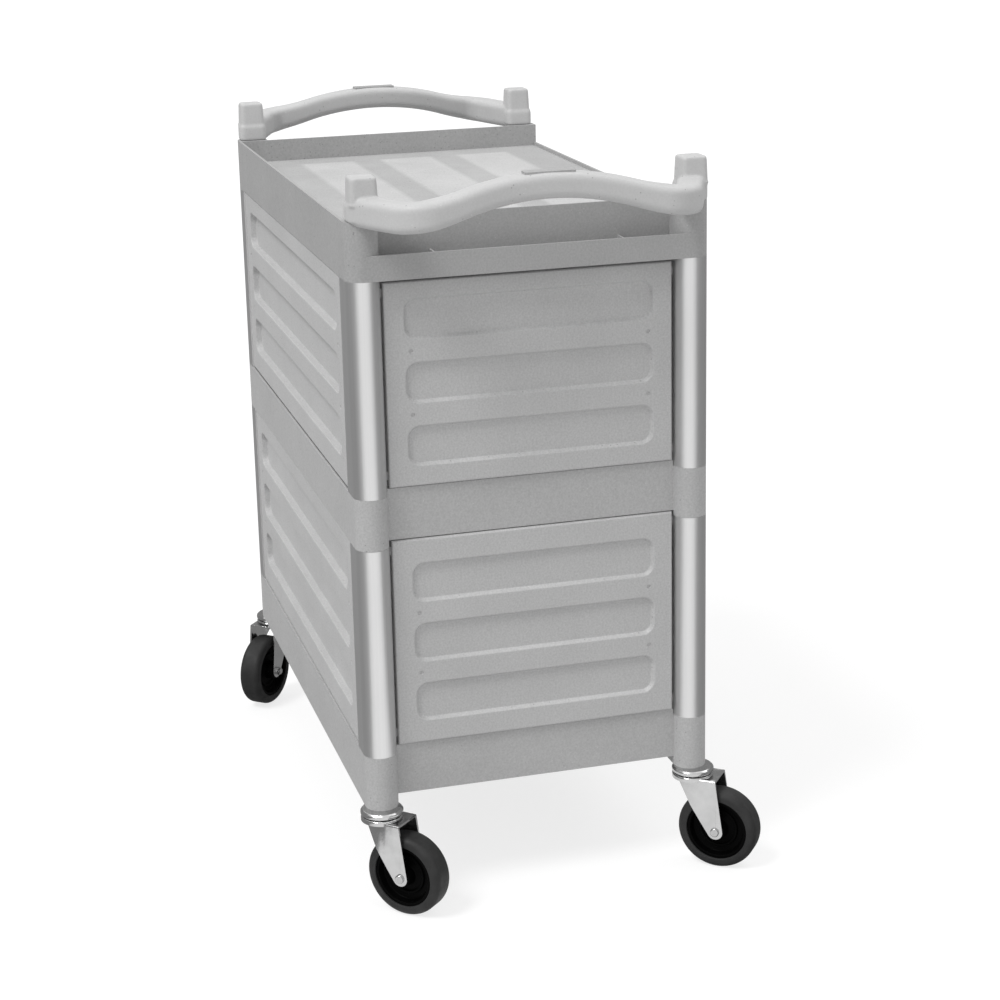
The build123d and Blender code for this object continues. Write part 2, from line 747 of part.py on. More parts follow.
def caster_fork(base):
    """Pressed fork with its crown, turning on the stem and carrying the axle."""
    crown_top = base.offset(-race_height - swivel_gap)
    rear_reach = caster_trail + 2 * fork_tip_radius
    with BuildPart() as fork:
        extrude(fork_leg_outline(side_view_plane(base)), amount=fork_half_width, both=True)
        outer_plan = fork_plan(base, 0.0, fork_front, rear_reach)
        extrude(outer_plan, amount=-axle_drop - wheel_radius, mode=Mode.INTERSECT)
        top_edges = fork.faces().sort_by(Axis.Z)[-1].edges()
        fillet([edge for edge in top_edges if is_along(edge, base.x_dir)], fork_bend_radius)
        open_front = fork_front + fork_open_front
        inner_plan = fork_plan(base.offset(-fork_top - fork_wall), fork_wall, open_front, rear_reach)
        extrude(inner_plan, amount=-axle_drop - wheel_radius, mode=Mode.SUBTRACT)
        with BuildSketch(crown_top) as crown:
            Circle(crown_radius)
        extrude(crown.sketch, amount=-crown_height)
        crown_edge = fork.faces().sort_by(Axis.Z)[-1].edges()
        fillet(crown_edge, crown_edge_radius)
        with BuildSketch(crown_top) as stem_hole:
            Circle(stem_radius + running_clearance)
        extrude(stem_hole.sketch, amount=-crown_height - fork_wall, mode=Mode.SUBTRACT)
        with BuildSketch(axle_plane(base)) as axle_hole:
            Circle(axle_radius + axle_hole_clearance)
        extrude(axle_hole.sketch, amount=2 * fork_half_width, both=True, mode=Mode.SUBTRACT)
        with Locations(ball_plane(base).location):
            Torus(ball_circle_radius, ball_radius + ball_clearance, mode=Mode.SUBTRACT)
    return fork


def is_along(edge, direction):
    """Whether an edge runs mostly along a direction."""
    return abs((edge % 0.5).dot(direction)) > 0.7


def ball_plane(base):
    """Middle plane of the ring of balls, half way between the race and the crown."""
    return base.offset(-race_height - swivel_gap / 2)


# Stems fixed in the bottom shelf: each carries a fork on the head at its lower end
with BuildPart() as caster_stems:
    for name in corners:
        base = caster_plane(name)
        head_top = base.offset(-crown_bottom - end_play)
        with BuildSketch(base.offset(stem_insertion)) as shank:
            Circle(stem_radius)
        extrude(shank.sketch, amount=-stem_insertion - crown_bottom - end_play)
        with BuildSketch(head_top) as head:
            Circle(stem_head_radius)
        extrude(head.sketch, amount=-stem_head_height)
export_piece(caster_stems, "caster_stems")

# Upper races fixed under the bottom shelf's corners
with BuildPart() as swivel_races:
    for name in corners:
        base = caster_plane(name)
        with BuildSketch(base) as race:
            Circle(race_radius)
            Circle(stem_radius, mode=Mode.SUBTRACT)
        extrude(race.sketch, amount=-race_height)
    round_edges = swivel_races.edges().filter_by(GeomType.CIRCLE)
    fillet([edge for edge in round_edges if edge.radius > stem_radius * 2], race_edge_radius)
    for name in corners:
        with Locations(ball_plane(caster_plane(name)).location):
            Torus(ball_circle_radius, ball_radius + ball_clearance, mode=Mode.SUBTRACT)
export_piece(swivel_races, "swivel_races")

# Bearing balls between the races and the crowns
with BuildPart() as swivel_balls:
    for name in corners:
        with Locations(ball_plane(caster_plane(name)).location):
            with PolarLocations(ball_circle_radius, ball_count):
                Sphere(ball_radius)
export_piece(swivel_balls, "swivel_balls")


def axle_bolt(base):
    """Axle bolt with a domed head, through the fork's legs and the bush."""
    with BuildPart() as bolt:
        with BuildSketch(axle_plane(base, fork_half_width)) as head:
            Circle(axle_head_radius)
        extrude(head.sketch, amount=axle_head_height)
        fillet(faces_towards(bolt, axle_plane(base))[-1].edges(), axle_head_height / 2)
        with BuildSketch(axle_plane(base, fork_half_width)) as shank:
            Circle(axle_radius)
        shank_length = 2 * fork_half_width + axle_nut_height + axle_thread_stand
        extrude(shank.sketch, amount=-shank_length)
    return bolt


def axle_nut(base):
    """Hexagon nut on the far end of the axle bolt."""
    with BuildPart() as nut:
        with BuildSketch(axle_plane(base, -fork_half_width)) as outline:
            RegularPolygon(axle_nut_size / 2, 6, major_radius=False)
            Circle(axle_radius, mode=Mode.SUBTRACT)
        extrude(outline.sketch, amount=-axle_nut_height)
    return nut


def wheel_bush(base):
    """Plain bush clamped between the legs, on which the hub turns."""
    with BuildPart() as bush:
        with BuildSketch(axle_plane(base)) as ring:
            Circle(bush_radius)
            Circle(axle_radius + axle_hole_clearance, mode=Mode.SUBTRACT)
        extrude(ring.sketch, amount=leg_inner_half, both=True)
    return bush


def wheel_hub(base):
    """Hub: a boss on the bush, a dished web and a rim inside the tyre."""
    with BuildPart() as hub:
        with BuildSketch(axle_plane(base)) as web:
            Circle(hub_radius)
        extrude(web.sketch, amount=hub_web_thickness / 2, both=True)
        with BuildSketch(axle_plane(base)) as rim:
            Circle(hub_radius)
            Circle(hub_radius - hub_rim_thickness, mode=Mode.SUBTRACT)
        extrude(rim.sketch, amount=tyre_width / 2 - hub_rim_setback, both=True)
        with BuildSketch(axle_plane(base)) as boss:
            Circle(hub_boss_radius)
        extrude(boss.sketch, amount=leg_inner_half - hub_side_clearance, both=True)
        with BuildSketch(axle_plane(base)) as bore:
            Circle(bush_radius + hub_clearance)
        extrude(bore.sketch, amount=fork_half_width, both=True, mode=Mode.SUBTRACT)
    return hub


def tyre(base):
    """Solid tyre with rounded shoulders, moulded round the hub's rim."""
    with BuildPart() as ring:
        with BuildSketch(axle_plane(base)) as outline:
            Circle(wheel_radius)
        extrude(outline.sketch, amount=tyre_width / 2, both=True)
        fillet(ring.edges().filter_by(GeomType.CIRCLE), tyre_shoulder_radius)
        with BuildSketch(axle_plane(base)) as opening:
            Circle(hub_radius)
        extrude(opening.sketch, amount=tyre_width, both=True, mode=Mode.SUBTRACT)
    return ring


for name in corners:
    base = caster_plane(name)
    export_piece(caster_fork(base), f"fork_{name}")
    export_piece(axle_bolt(base), f"axle_bolt_{name}")
    export_piece(axle_nut(base), f"axle_nut_{name}")
    export_piece(wheel_bush(base), f"wheel_bush_{name}")
    export_piece(wheel_hub(base), f"wheel_hub_{name}")
    export_piece(tyre(base), f"tyre_{name}")
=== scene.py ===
import json
from math import cos, pi, radians, sin, sqrt, tan

import bmesh
import bpy
from mathutils import Matrix, Vector


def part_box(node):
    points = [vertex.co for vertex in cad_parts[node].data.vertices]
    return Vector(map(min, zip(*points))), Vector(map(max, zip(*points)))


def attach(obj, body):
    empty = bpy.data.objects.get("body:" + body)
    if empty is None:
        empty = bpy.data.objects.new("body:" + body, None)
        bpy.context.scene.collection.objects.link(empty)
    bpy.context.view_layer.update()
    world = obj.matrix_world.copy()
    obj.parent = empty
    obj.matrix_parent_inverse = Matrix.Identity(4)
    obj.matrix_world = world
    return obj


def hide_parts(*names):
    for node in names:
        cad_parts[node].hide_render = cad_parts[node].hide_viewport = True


# Serving cart: the looks of a light grey moulded cart with satin metal corner posts and plated
# swivel casters. Metres, +Z up, +X towards the front end, the closed long side at -Y.

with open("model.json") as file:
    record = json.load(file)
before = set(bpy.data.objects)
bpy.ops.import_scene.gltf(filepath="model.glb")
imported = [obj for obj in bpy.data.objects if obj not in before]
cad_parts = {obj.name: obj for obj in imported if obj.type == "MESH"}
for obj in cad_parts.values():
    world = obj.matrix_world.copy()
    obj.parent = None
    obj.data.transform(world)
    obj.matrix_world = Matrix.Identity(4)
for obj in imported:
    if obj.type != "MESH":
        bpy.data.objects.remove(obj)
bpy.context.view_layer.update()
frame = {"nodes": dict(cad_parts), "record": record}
nodes = frame["nodes"]
record = frame["record"]

# Camera, fitted to the picture: a long lens from the front right, a little above the cart
image_side = 1000.0
focal_pixels = 2246.0
sensor_width = 36.0
camera_target = Vector((0.0, 0.0582, 0.4489))
camera_distance = 2.989
camera_azimuth = radians(74.59)
camera_elevation = radians(15.73)
camera_roll = radians(-1.29)
camera_shift_y = -0.05
camera_clip_end = 200.0

# Room and light. The flags' profile gives (distance from the cart's middle, height)
floor_size = 60.0
floor_colour = 0.55
floor_camera_colour = 0.3
floor_glow = 0.76
room_level = 0.6
background_level = 1.0
flag_profile = [(0.25, 0.001), (1.5, 0.001), (1.5, 1.3)]
flag_steps = 24
flag_level = 0.3

# Places taken from the frame
shelf_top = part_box("top_shelf")[1]
rim_z = shelf_top.z
half_length = shelf_top.x
half_width = shelf_top.y
tray_z = record["mounts"][0]["pos_m"][2]

# The tray's polished floor, made paler by a painted sheen, and three paler lanes along it that are
# painted reflections of lights
tray_mask_reach = 0.0015
tray_mask_softness = 0.0004
tray_half_width = 0.2115
tray_half_length = 0.3355
tray_edge_softness = 0.0005
# Painted sheen: the tray floor's grey is lifted to stand in for the light its gloss reflects
tray_floor_sheen_gain = 1.46
# Painted reflections: three paler lanes on the tray floor that stand in for reflected lights
reflection_lane_half_length = 0.288
reflection_lane_width = 0.072
reflection_lane_pitch = 0.1105
reflection_lane_middle = 0.0095
reflection_lane_softness = 0.004
reflection_lane_gain = 1.28

# The part of a noise texture's range that most of its values lie in
noise_range = (0.3, 0.7)

# Grain of the mouldings: height of its relief, and how far it lightens and darkens the grey
grain_height = 0.00022
grain_contrast = 0.09

# Softened edges of the carried-over mouldings and pressings
shelf_edge = 0.0008
panel_edge = 0.0004
fork_edge = 0.0005
weld_distance = 0.00001
sharp_angle = radians(40)
face_weight = 80

# Handles: the moulding in the frame, with a bar that gets a little fuller towards its ends and
# base blocks that are rounder over the shelf's corners
block_size = 0.0365
block_height = 0.020
block_end_inset = 0.0115
block_side_inset = 0.0217
block_radius = 0.007
block_nose_radius = 0.015
block_edge_radius = 0.0016
block_shoulder_height = 0.003
block_shoulder_width = 0.002
block_seat_gap = 0.0002
stub_size = 0.0325
stub_foot_height = 0.0015
stub_top_size = 0.0303
stub_top_ease = 0.0003
stub_radius = 0.0052
stub_height = 0.0305
stub_edge_radius = 0.0026
tower_edge_steps = 4
bar_width = 0.031
bar_height = 0.029
bar_edge_radius = 0.0085
bar_flare_start = 0.09
bar_flare_width = 0.001
bar_flare_height = 0.002
bar_reach = 0.061
bar_knee_reach = 0.0769
bar_knee_inset = 0.058
bar_knee_radius = 0.034
bar_bow_radius = 0.6
bar_arch = 0.0285
bar_arch_inset = 0.020
bar_dip = 0.003
bar_step = 0.004
handle_voxel = 0.0014
handle_smoothing = 0.5
handle_smoothing_rounds = 4

# Wheels
wheel_radius = 0.050
tyre_half_width = 0.0155
tyre_shoulder_radius = 0.0075
tyre_lip_radius = 0.0012
hub_radius = 0.038
hub_bore = 0.0066
hub_boss_radius = 0.011
hub_boss_half = 0.01825
hub_rim_half = 0.0135
hub_rim_inner = 0.034
hub_web_half = 0.0045
hub_web_rise = 0.0005
hub_ring_radius = 0.023
hub_ring_height = 0.0025
hub_ring_width = 0.004
hub_fillet = 0.002
hub_bore_edge = 0.0005
hub_boss_edge = 0.0008
hub_ring_edge = 0.0006
hub_rim_edge = 0.0008
hub_outer_edge = 0.0006
lathe_steps = 144

# Upper races of the casters
race_bore = 0.0062
race_neck_radius = 0.0235
race_radius = 0.0258
race_lip = 0.0022
race_height = 0.0066
race_bore_edge = 0.0003
race_neck_edge = 0.0012
race_rim_edge = 0.0018


def node_tree(owner):
    """The emptied node tree of a material or world."""
    owner.use_nodes = True
    tree = owner.node_tree
    tree.nodes.clear()
    return tree


def new_material(name):
    """A new material and its emptied node tree."""
    material = bpy.data.materials.new(name)
    return material, node_tree(material)


def add_node(tree, kind, inputs=None, **settings):
    """A node with its settings and its input values; a socket given as input is linked."""
    node = tree.nodes.new(kind)
    for name, value in settings.items():
        setattr(node, name, value)
    for name, value in (inputs or {}).items():
        if isinstance(value, bpy.types.NodeSocket):
            tree.links.new(value, node.inputs[name])
        else:
            node.inputs[name].default_value = value
    return node


def grey(level):
    return (level, level, level, 1.0)


def calculate(tree, operation, first, second):
    """One step of arithmetic on two values."""
    return add_node(tree, "ShaderNodeMath", {0: first, 1: second}, operation=operation).outputs[0]


def times(tree, first, second):
    return calculate(tree, "MULTIPLY", first, second)


def plus(tree, first, second):
    return calculate(tree, "ADD", first, second)


def camera_like_ray(tree):
    """1 for camera, glossy and transmission rays, which see the white background."""
    path = add_node(tree, "ShaderNodeLightPath")
    first = calculate(tree, "MAXIMUM", path.outputs["Is Camera Ray"], path.outputs["Is Glossy Ray"])
    return calculate(tree, "MAXIMUM", first, path.outputs["Is Transmission Ray"])


def make_camera():
    back = Vector((sin(camera_azimuth) * cos(camera_elevation),
                   -cos(camera_azimuth) * cos(camera_elevation),
                   sin(camera_elevation)))
    level_right = (-back).cross(Vector((0, 0, 1))).normalized()
    level_up = level_right.cross(-back)
    right = cos(camera_roll) * level_right + sin(camera_roll) * level_up
    up = -sin(camera_roll) * level_right + cos(camera_roll) * level_up
    data = bpy.data.cameras.new("photo_camera")
    data.sensor_width = sensor_width
    data.lens = focal_pixels * sensor_width / image_side
    data.shift_y = camera_shift_y
    data.clip_end = camera_clip_end
    camera = bpy.data.objects.new("photo_camera", data)
    turn = Matrix((right, up, back)).transposed().to_4x4()
    camera.matrix_world = Matrix.Translation(camera_target + back * camera_distance) @ turn
    bpy.context.scene.collection.objects.link(camera)
    bpy.context.scene.camera = camera


def rectangle(half_x, half_y):
    """Corners of a flat rectangle about the origin, from half its sides."""
    return [(-half_x, -half_y), (half_x, -half_y), (half_x, half_y), (-half_x, half_y)]


def link_mesh(name, points, faces):
    """A new object made of points and faces, in the scene."""
    mesh = bpy.data.meshes.new(name)
    mesh.from_pydata([tuple(point) for point in points], [], faces)
    mesh.validate()
    item = bpy.data.objects.new(name, mesh)
    bpy.context.scene.collection.objects.link(item)
    return item


def make_floor():
    """Floor that takes the cart's shadow: grey to the light, white to the camera and in gloss."""
    corners = [(x, y, 0) for x, y in rectangle(floor_size / 2, floor_size / 2)]
    floor = link_mesh("floor", corners, [(0, 1, 2, 3)])
    material, tree = new_material("floor_white")
    seen = camera_like_ray(tree)
    lighting = add_node(tree, "ShaderNodeBsdfDiffuse", {"Color": grey(floor_colour)})
    shown = add_node(tree, "ShaderNodeBsdfDiffuse", {"Color": grey(floor_camera_colour)})
    glow = add_node(tree, "ShaderNodeEmission", {"Strength": floor_glow})
    both = add_node(tree, "ShaderNodeAddShader", {0: shown.outputs[0], 1: glow.outputs[0]})
    mix = add_node(tree, "ShaderNodeMixShader", {0: seen, 1: lighting.outputs[0], 2: both.outputs[0]})
    add_node(tree, "ShaderNodeOutputMaterial", {"Surface": mix.outputs[0]})
    floor.data.materials.append(material)


def make_world():
    """Even room light, where the camera and gloss see plain white."""
    world = bpy.data.worlds.new("white_room")
    bpy.context.scene.world = world
    tree = node_tree(world)
    seen = camera_like_ray(tree)
    room = add_node(tree, "ShaderNodeBackground", {"Color": grey(1.0), "Strength": room_level})
    white = add_node(tree, "ShaderNodeBackground", {"Color": grey(1.0), "Strength": background_level})
    mix = add_node(tree, "ShaderNodeMixShader", {0: seen, 1: room.outputs[0], 2: white.outputs[0]})
    add_node(tree, "ShaderNodeOutputWorld", {"Surface": mix.outputs[0]})


def add_sun(name, azimuth, elevation, strength, softness):
    """Soft distant lamp, its angles in degrees. The azimuth is the side it stands on, measured
    from +X towards +Y."""
    data = bpy.data.lights.new(name, "SUN")
    data.energy = strength
    data.angle = radians(softness)
    lamp = bpy.data.objects.new(name, data)
    turn, rise = radians(azimuth), radians(elevation)
    towards = Vector((cos(turn) * cos(rise), sin(turn) * cos(rise), sin(rise)))
    lamp.rotation_mode = "QUATERNION"
    lamp.rotation_quaternion = towards.to_track_quat("Z", "Y")
    bpy.context.scene.collection.objects.link(lamp)


def add_flag(name, from_azimuth, to_azimuth):
    """Grey studio flag that lies on the floor and stands up round the cart, seen only in gloss."""
    rows = len(flag_profile)
    points = []
    for step in range(flag_steps + 1):
        turn = radians(from_azimuth + (to_azimuth - from_azimuth) * step / flag_steps)
        points += [(radius * cos(turn), radius * sin(turn), height) for radius, height in flag_profile]
    faces = []
    for step in range(flag_steps):
        for row in range(rows - 1):
            corner = step * rows + row
            faces.append((corner, corner + 1, corner + rows + 1, corner + rows))
    flag = link_mesh(name, points, faces)
    material, tree = new_material(name)
    glow = add_node(tree, "ShaderNodeEmission", {"Color": grey(1.0), "Strength": flag_level})
    add_node(tree, "ShaderNodeOutputMaterial", {"Surface": glow.outputs[0]})
    flag.data.materials.append(material)
    flag.visible_camera = False
    flag.visible_diffuse = False
    flag.visible_shadow = False
    flag.visible_transmission = False
    flag.visible_volume_scatter = False


def position(tree, scale=(1.0, 1.0, 1.0)):
    """Object coordinates, stretched by a scale along each axis."""
    place = add_node(tree, "ShaderNodeTexCoord")
    stretch = add_node(tree, "ShaderNodeMapping", {"Vector": place.outputs["Object"], "Scale": scale})
    return stretch.outputs[0]


def noise(tree, vector, scale, detail=3.0, roughness=0.55):
    texture = add_node(tree, "ShaderNodeTexNoise", {"Vector": vector, "Scale": scale,
                       "Detail": detail, "Roughness": roughness})
    return texture.outputs["Fac"]


def map_range(tree, value, low, high, new_low, new_high):
    """A value's range mapped on to another, clamped."""
    ranged = add_node(tree, "ShaderNodeMapRange", {"Value": value, "From Min": low, "From Max": high,
                      "To Min": new_low, "To Max": new_high})
    return ranged.outputs["Result"]


def vary(tree, texture, low, high, texture_range=noise_range):
    """A noise texture made to vary between two values."""
    return map_range(tree, texture, texture_range[0], texture_range[1], low, high)


def ramp(tree, value, start, stop):
    """0 on one side of a start, 1 on the other side of a stop, and even steps between."""
    return map_range(tree, value, start, stop, 0.0, 1.0)


def masked(tree, mask, outside, inside):
    """One value where a mask is 0 and another where it is 1."""
    return map_range(tree, mask, 0.0, 1.0, outside, inside)


def bump(tree, height, distance, strength=1.0, normal=None):
    inputs = {"Height": height, "Distance": distance, "Strength": strength}
    if normal is not None:
        inputs["Normal"] = normal
    return add_node(tree, "ShaderNodeBump", inputs).outputs["Normal"]


def as_colour(tree, value):
    """A grey colour from a value."""
    return add_node(tree, "ShaderNodeCombineColor", {0: value, 1: value, 2: value}).outputs[0]


def specks(tree, vector, scale, size, share, share_softness=0.02, core=0.6):
    """1 inside small round specks, which stand in a share of the cells, and 0 elsewhere."""
    cells = add_node(tree, "ShaderNodeTexVoronoi", {"Vector": vector, "Scale": scale})
    chance = add_node(tree, "ShaderNodeSeparateColor", {0: cells.outputs["Color"]})
    chosen = ramp(tree, chance.outputs[0], share, share - share_softness)
    dot = ramp(tree, cells.outputs["Distance"], size, size * core)
    return times(tree, chosen, dot)


def between(tree, value, low, high, soft):
    """1 where a value is between two limits, with soft edges, and 0 outside."""
    above = ramp(tree, value, low - soft, low + soft)
    below = ramp(tree, value, high + soft, high - soft)
    return times(tree, above, below)


def surface(tree, **inputs):
    """The principled shader with its inputs, joined to the output."""
    named = {key.replace("_", " "): value for key, value in inputs.items()}
    shader = add_node(tree, "ShaderNodeBsdfPrincipled", named)
    add_node(tree, "ShaderNodeOutputMaterial", {"Surface": shader.outputs[0]})


def moulding_shade(tree, vector, level, contrast=grain_contrast):
    """Grey of the moulded plastic: clouding, grain and fine specks."""
    clouds = noise(tree, vector, scale=9.0, detail=4.0)
    clouding = vary(tree, clouds, low=level * 0.965, high=level * 1.035)
    grains = noise(tree, vector, scale=430.0, detail=2.0)
    grain = vary(tree, grains, low=1.0 - contrast, high=1.0 + contrast)
    dark_specks = specks(tree, vector, scale=190.0, size=0.2, share=0.2)
    dark = masked(tree, dark_specks, outside=1.0, inside=0.66)
    pale_specks = specks(tree, vector, scale=230.0, size=0.18, share=0.12)
    pale = masked(tree, pale_specks, outside=1.0, inside=1.2)
    return times(tree, times(tree, clouding, grain), times(tree, dark, pale))


def moulding_gloss(tree, vector, roughness):
    """Roughness of the matt plastic, a little uneven."""
    unevenness = noise(tree, vector, scale=40.0, detail=4.0)
    return vary(tree, unevenness, low=roughness - 0.05, high=roughness + 0.06)


def moulding_relief(tree, vector, height, strength=0.5):
    """Fine spark-eroded grain over a slight waviness."""
    waves = noise(tree, vector, scale=28.0, detail=2.0)
    wavy = bump(tree, waves, distance=0.0009, strength=0.35)
    grains = noise(tree, vector, scale=900.0, detail=3.0, roughness=0.7)
    return bump(tree, grains, distance=height, strength=strength, normal=wavy)


def moulding(name, level, roughness=0.52, height=grain_height, contrast=grain_contrast):
    """Light grey moulded plastic, matt, with a fine grain."""
    material, tree = new_material(name)
    vector = position(tree)
    shade = moulding_shade(tree, vector, level, contrast)
    surface(tree, Base_Color=as_colour(tree, shade), Roughness=moulding_gloss(tree, vector, roughness),
            Normal=moulding_relief(tree, vector, height))
    return material


def tray_moulding(name, level, roughness=0.53):
    """The top shelf's plastic: polished in the tray, with a painted sheen on its floor and three paler
    lanes of painted reflection along it.
    """
    material, tree = new_material(name)
    vector = position(tree)
    place = add_node(tree, "ShaderNodeSeparateXYZ", {0: vector})
    along, across, height = place.outputs
    low, high = tray_z - tray_mask_reach, tray_z + tray_mask_reach
    at_level = between(tree, height, low, high, tray_mask_softness)
    in_width = between(tree, across, -tray_half_width, tray_half_width, tray_edge_softness)
    in_length = between(tree, along, -tray_half_length, tray_half_length, tray_edge_softness)
    on_floor = times(tree, at_level, times(tree, in_width, in_length))
    # Masks of the three lanes of painted reflection
    reflection_lanes = None
    for step in (-1, 0, 1):
        middle = reflection_lane_middle + step * reflection_lane_pitch
        low, high = middle - reflection_lane_width / 2, middle + reflection_lane_width / 2
        lane = between(tree, across, low, high, reflection_lane_softness)
        reflection_lanes = lane if reflection_lanes is None else plus(tree, reflection_lanes, lane)
    in_reflection_lane_length = between(tree, along, -reflection_lane_half_length, reflection_lane_half_length, reflection_lane_softness)
    in_reflection_lane = times(tree, times(tree, reflection_lanes, in_reflection_lane_length), on_floor)
    shade = moulding_shade(tree, vector, level)
    # Painted sheen: paler grey on the tray floor
    sheen_lifted = times(tree, shade, masked(tree, on_floor, outside=1.0, inside=tray_floor_sheen_gain))
    # Painted reflections: the lanes lighten the floor's grey further
    with_painted_reflections = times(tree, sheen_lifted, masked(tree, in_reflection_lane, outside=1.0, inside=reflection_lane_gain))
    matt = moulding_gloss(tree, vector, roughness)
    wear = noise(tree, vector, scale=14.0, detail=5.0)
    worn = vary(tree, wear, low=0.13, high=0.22, texture_range=(0.35, 0.7))
    gloss = add_node(tree, "ShaderNodeMix", {"Factor": on_floor, "A": matt, "B": worn}).outputs[0]
    strength = masked(tree, on_floor, outside=0.5, inside=0.06)
    surface(tree, Base_Color=as_colour(tree, with_painted_reflections), Roughness=gloss,
            Normal=moulding_relief(tree, vector, grain_height, strength))
    return material


def satin_metal(name, level):
    """Anodised post: fine drawn streaks along its length and a soft sheen."""
    material, tree = new_material(name)
    streaks = noise(tree, position(tree, scale=(420.0, 420.0, 3.0)), scale=1.0)
    clouds = noise(tree, position(tree), scale=7.0)
    shade = times(tree, vary(tree, streaks, low=level * 0.97, high=level * 1.03),
                  vary(tree, clouds, low=0.98, high=1.02))
    gloss = vary(tree, streaks, low=0.4, high=0.46)
    relief = bump(tree, streaks, distance=0.00006, strength=0.5)
    surface(tree, Base_Color=as_colour(tree, shade), Metallic=1.0, Roughness=gloss, Normal=relief)
    return material


def plated(name, level, roughness, waviness=0.0002):
    """Bright zinc plating: clean, with faint pits, cloudy gloss and slight waves."""
    material, tree = new_material(name)
    vector = position(tree)
    clouds = noise(tree, vector, scale=60.0, detail=4.0)
    shade = vary(tree, clouds, low=level * 0.93, high=level * 1.04)
    haze = noise(tree, vector, scale=90.0, detail=4.0)
    gloss = vary(tree, haze, low=roughness * 0.75, high=roughness * 1.35)
    waves = noise(tree, position(tree, scale=(48.0, 48.0, 6.0)), scale=1.0, detail=1.0)
    wavy = bump(tree, waves, distance=waviness)
    pits = noise(tree, vector, scale=240.0, detail=2.0)
    relief = bump(tree, pits, distance=0.0002, strength=0.25, normal=wavy)
    surface(tree, Base_Color=as_colour(tree, shade), Metallic=1.0, Roughness=gloss, Normal=relief)
    return material


def dark_plastic(name, level, roughness, shine):
    """Near-black moulded plastic, slightly mottled, with a fine grain."""
    material, tree = new_material(name)
    vector = position(tree)
    mottling = noise(tree, vector, scale=120.0)
    shade = vary(tree, mottling, low=level * 0.8, high=level * 1.3)
    haze = noise(tree, vector, scale=60.0)
    gloss = vary(tree, haze, low=roughness - 0.06, high=roughness + 0.08)
    relief = bump(tree, noise(tree, vector, scale=700.0, detail=2.0), distance=0.00015, strength=0.4)
    surface(tree, Base_Color=as_colour(tree, shade), Roughness=gloss, Normal=relief,
            Specular_IOR_Level=shine)
    return material


def rubber(name, level, shine):
    """Dark grey tyre rubber, scuffed and a little dusty."""
    material, tree = new_material(name)
    vector = position(tree)
    scuffs = noise(tree, vector, scale=55.0, detail=5.0)
    mottled = vary(tree, scuffs, low=level * 0.82, high=level * 1.35, texture_range=(0.3, 0.75))
    dust = masked(tree, specks(tree, vector, scale=320.0, size=0.2, share=0.12), outside=1.0, inside=1.5)
    haze = noise(tree, vector, scale=80.0, detail=4.0)
    gloss = vary(tree, haze, low=0.52, high=0.68)
    pores = noise(tree, vector, scale=500.0, detail=4.0, roughness=0.7)
    relief = bump(tree, pores, distance=0.0003, strength=0.45)
    surface(tree, Base_Color=as_colour(tree, times(tree, mottled, dust)), Roughness=gloss, Normal=relief,
            Specular_IOR_Level=shine)
    return material


def soften(node, width, segments=2):
    """Small rounded edges on a CAD node, and shading that follows its large faces."""
    item = nodes[node]
    weld = item.modifiers.new("weld", "WELD")
    weld.merge_threshold = weld_distance
    bevel = item.modifiers.new("rounded_edges", "BEVEL")
    bevel.width = width
    bevel.segments = segments
    bevel.limit_method = "ANGLE"
    bevel.angle_limit = sharp_angle
    bevel.use_clamp_overlap = True
    normals = item.modifiers.new("flat_faces", "WEIGHTED_NORMAL")
    normals.weight = face_weight
    normals.keep_sharp = False


def rounded_corners(points, radii, steps=6, closed=True):
    """A plane outline with an arc in place of each corner."""
    count = len(points)
    outline = []
    for index, (point, radius) in enumerate(zip(points, radii)):
        here = Vector(point)
        if not closed and index in (0, count - 1):
            outline.append(here)
            continue
        before = (Vector(points[index - 1]) - here).normalized()
        after = (Vector(points[(index + 1) % count]) - here).normalized()
        half_angle = before.angle(after) / 2
        reach = radius / tan(half_angle)
        middle = here + (before + after).normalized() * radius / sin(half_angle)
        start = here + before * reach - middle
        turn = (pi - 2 * half_angle) * (1 if before.cross(after) < 0 else -1)
        for step in range(steps + 1):
            angle = turn * step / steps
            outline.append(middle + Matrix.Rotation(angle, 2) @ start)
    return outline


def stub_outline(size):
    """Square of a stub cap, with equal corners."""
    return rounded_corners(rectangle(size / 2, size / 2), [stub_radius] * 4)


def block_outline(size, nose_x, nose_y):
    """Square of a base block, rounder at the corner over the shelf's nose."""
    corners = rectangle(size / 2, size / 2)
    radii = []
    for x, y in corners:
        over_nose = x * nose_x > 0 and y * nose_y > 0
        radii.append(block_nose_radius if over_nose else block_radius)
    return rounded_corners(corners, radii)


def loft(bm, rings):
    """Closed skin through rings of equal point counts, capped at both ends."""
    made = [[bm.verts.new(point) for point in ring] for ring in rings]
    count = len(made[0])
    for lower, upper in zip(made, made[1:]):
        for k in range(count):
            bm.faces.new((lower[k], lower[(k + 1) % count], upper[(k + 1) % count], upper[k]))
    bm.faces.new(list(reversed(made[0])))
    bm.faces.new(made[-1])


def arch_height(across):
    """Height of the bar's centre line over its ends, at a distance from the middle."""
    half = half_width - bar_arch_inset
    radius = (half**2 + bar_arch**2) / (4 * bar_arch)
    away = min(abs(across), half)
    if away < half / 2:
        return bar_arch - radius + sqrt(radius**2 - away**2)
    return radius - sqrt(radius**2 - (half - away) ** 2)


